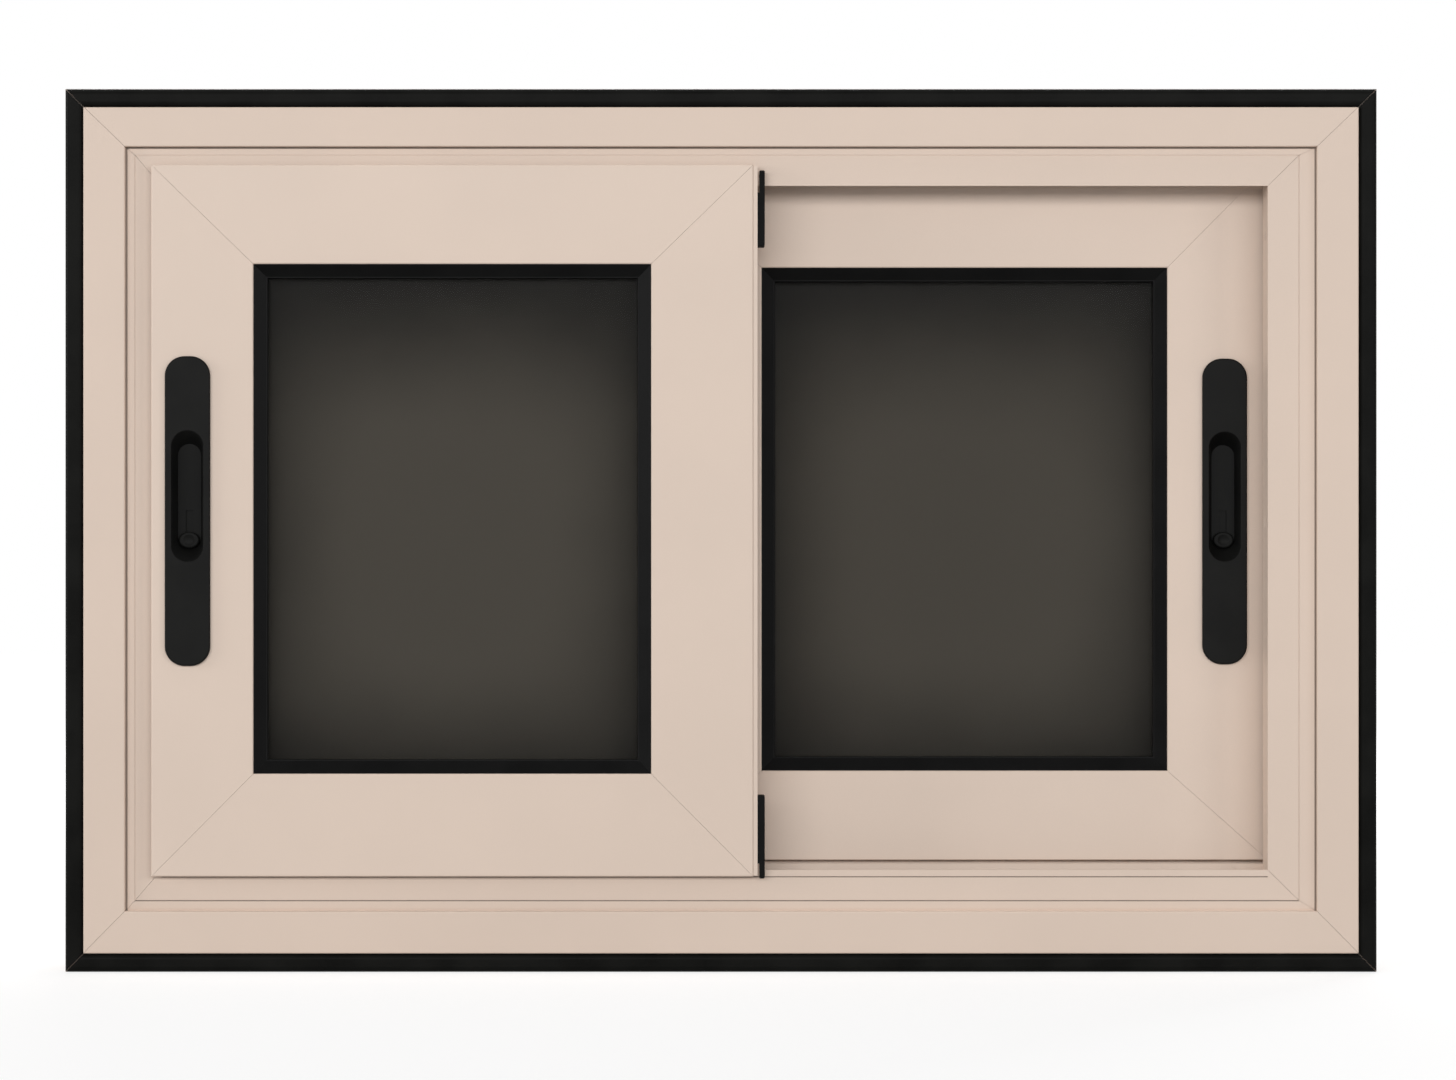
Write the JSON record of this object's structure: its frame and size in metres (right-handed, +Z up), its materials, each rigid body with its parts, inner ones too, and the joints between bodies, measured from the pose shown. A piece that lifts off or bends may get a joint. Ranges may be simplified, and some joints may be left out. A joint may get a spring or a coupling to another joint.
{
  "type": "horizontal sliding window",
  "caption": "Horizontal sliding window: mitred beige frame with black edge trims, dark glass and flush black pulls on sliding sashes.",
  "frame": {"origin": "middle of the underside of the sill, half way through the frame's depth", "axes": "+X to the right along the window seen from the room, +Y outwards from the room, +Z up"},
  "size_m": [0.9, 0.0865, 0.606],
  "materials": {
    "frame_paint": "satin",
    "sash_paint": "satin",
    "edge_trim": "satin",
    "track_steel": "satin",
    "glazing_bead": "satin",
    "tinted_glass": "gloss",
    "spacer_bar": "satin",
    "pull_black": "satin",
    "roller": "satin",
    "buffer_rubber": "matte",
    "seal_pile": "matte"
  },
  "bodies": {
    "frame": {"frame_head": "frame_paint", "head_front_lip": "frame_paint", "head_centre_fin": "frame_paint", "head_rear_lip": "frame_paint", "frame_sill": "frame_paint", "frame_left_jamb": "frame_paint", "frame_right_jamb": "frame_paint", "edge_trim_head": "edge_trim", "edge_trim_sill": "edge_trim", "edge_trim_left": "edge_trim", "edge_trim_right": "edge_trim", "front_track_rail": "track_steel", "rear_track_rail": "track_steel", "right_jamb_cover": "frame_paint", "left_jamb_cover": "frame_paint"},
    "front_sash": {"front_top_rail": "sash_paint", "front_bottom_rail": "sash_paint", "front_left_stile": "sash_paint", "front_right_stile": "sash_paint", "front_room_bead": "glazing_bead", "front_outer_bead": "glazing_bead", "front_room_pane": "tinted_glass", "front_outer_pane": "tinted_glass", "front_glass_spacer": "spacer_bar", "front_handle": "pull_black", "front_rollers": "roller", "front_meeting_strip": "sash_paint", "front_upper_buffer": "buffer_rubber", "front_lower_buffer": "buffer_rubber"},
    "rear_sash": {"rear_top_rail": "sash_paint", "rear_bottom_rail": "sash_paint", "rear_left_stile": "sash_paint", "rear_right_stile": "sash_paint", "rear_room_bead": "glazing_bead", "rear_outer_bead": "glazing_bead", "rear_room_pane": "tinted_glass", "rear_outer_pane": "tinted_glass", "rear_glass_spacer": "spacer_bar", "rear_handle": "pull_black", "rear_rollers": "roller", "rear_meeting_seal": "seal_pile"},
    "front_latch": {"front_latch_button": "pull_black"},
    "rear_latch": {"rear_latch_button": "pull_black"}
  },
  "joints": [
    {"name": "front_sash_slide", "type": "slide", "parent": "frame", "child": "front_sash", "axis": [1, 0, 0], "range_m": [0, 0.34]},
    {"name": "rear_sash_slide", "type": "slide", "parent": "frame", "child": "rear_sash", "axis": [1, 0, 0], "range_m": [-0.328, 0]},
    {"name": "front_latch_slide", "type": "slide", "parent": "front_sash", "child": "front_latch", "axis": [0, 0, 1], "range_m": [0, 0.018]},
    {"name": "rear_latch_slide", "type": "slide", "parent": "rear_sash", "child": "rear_latch", "axis": [0, 0, 1], "range_m": [0, 0.018]}
  ]
}
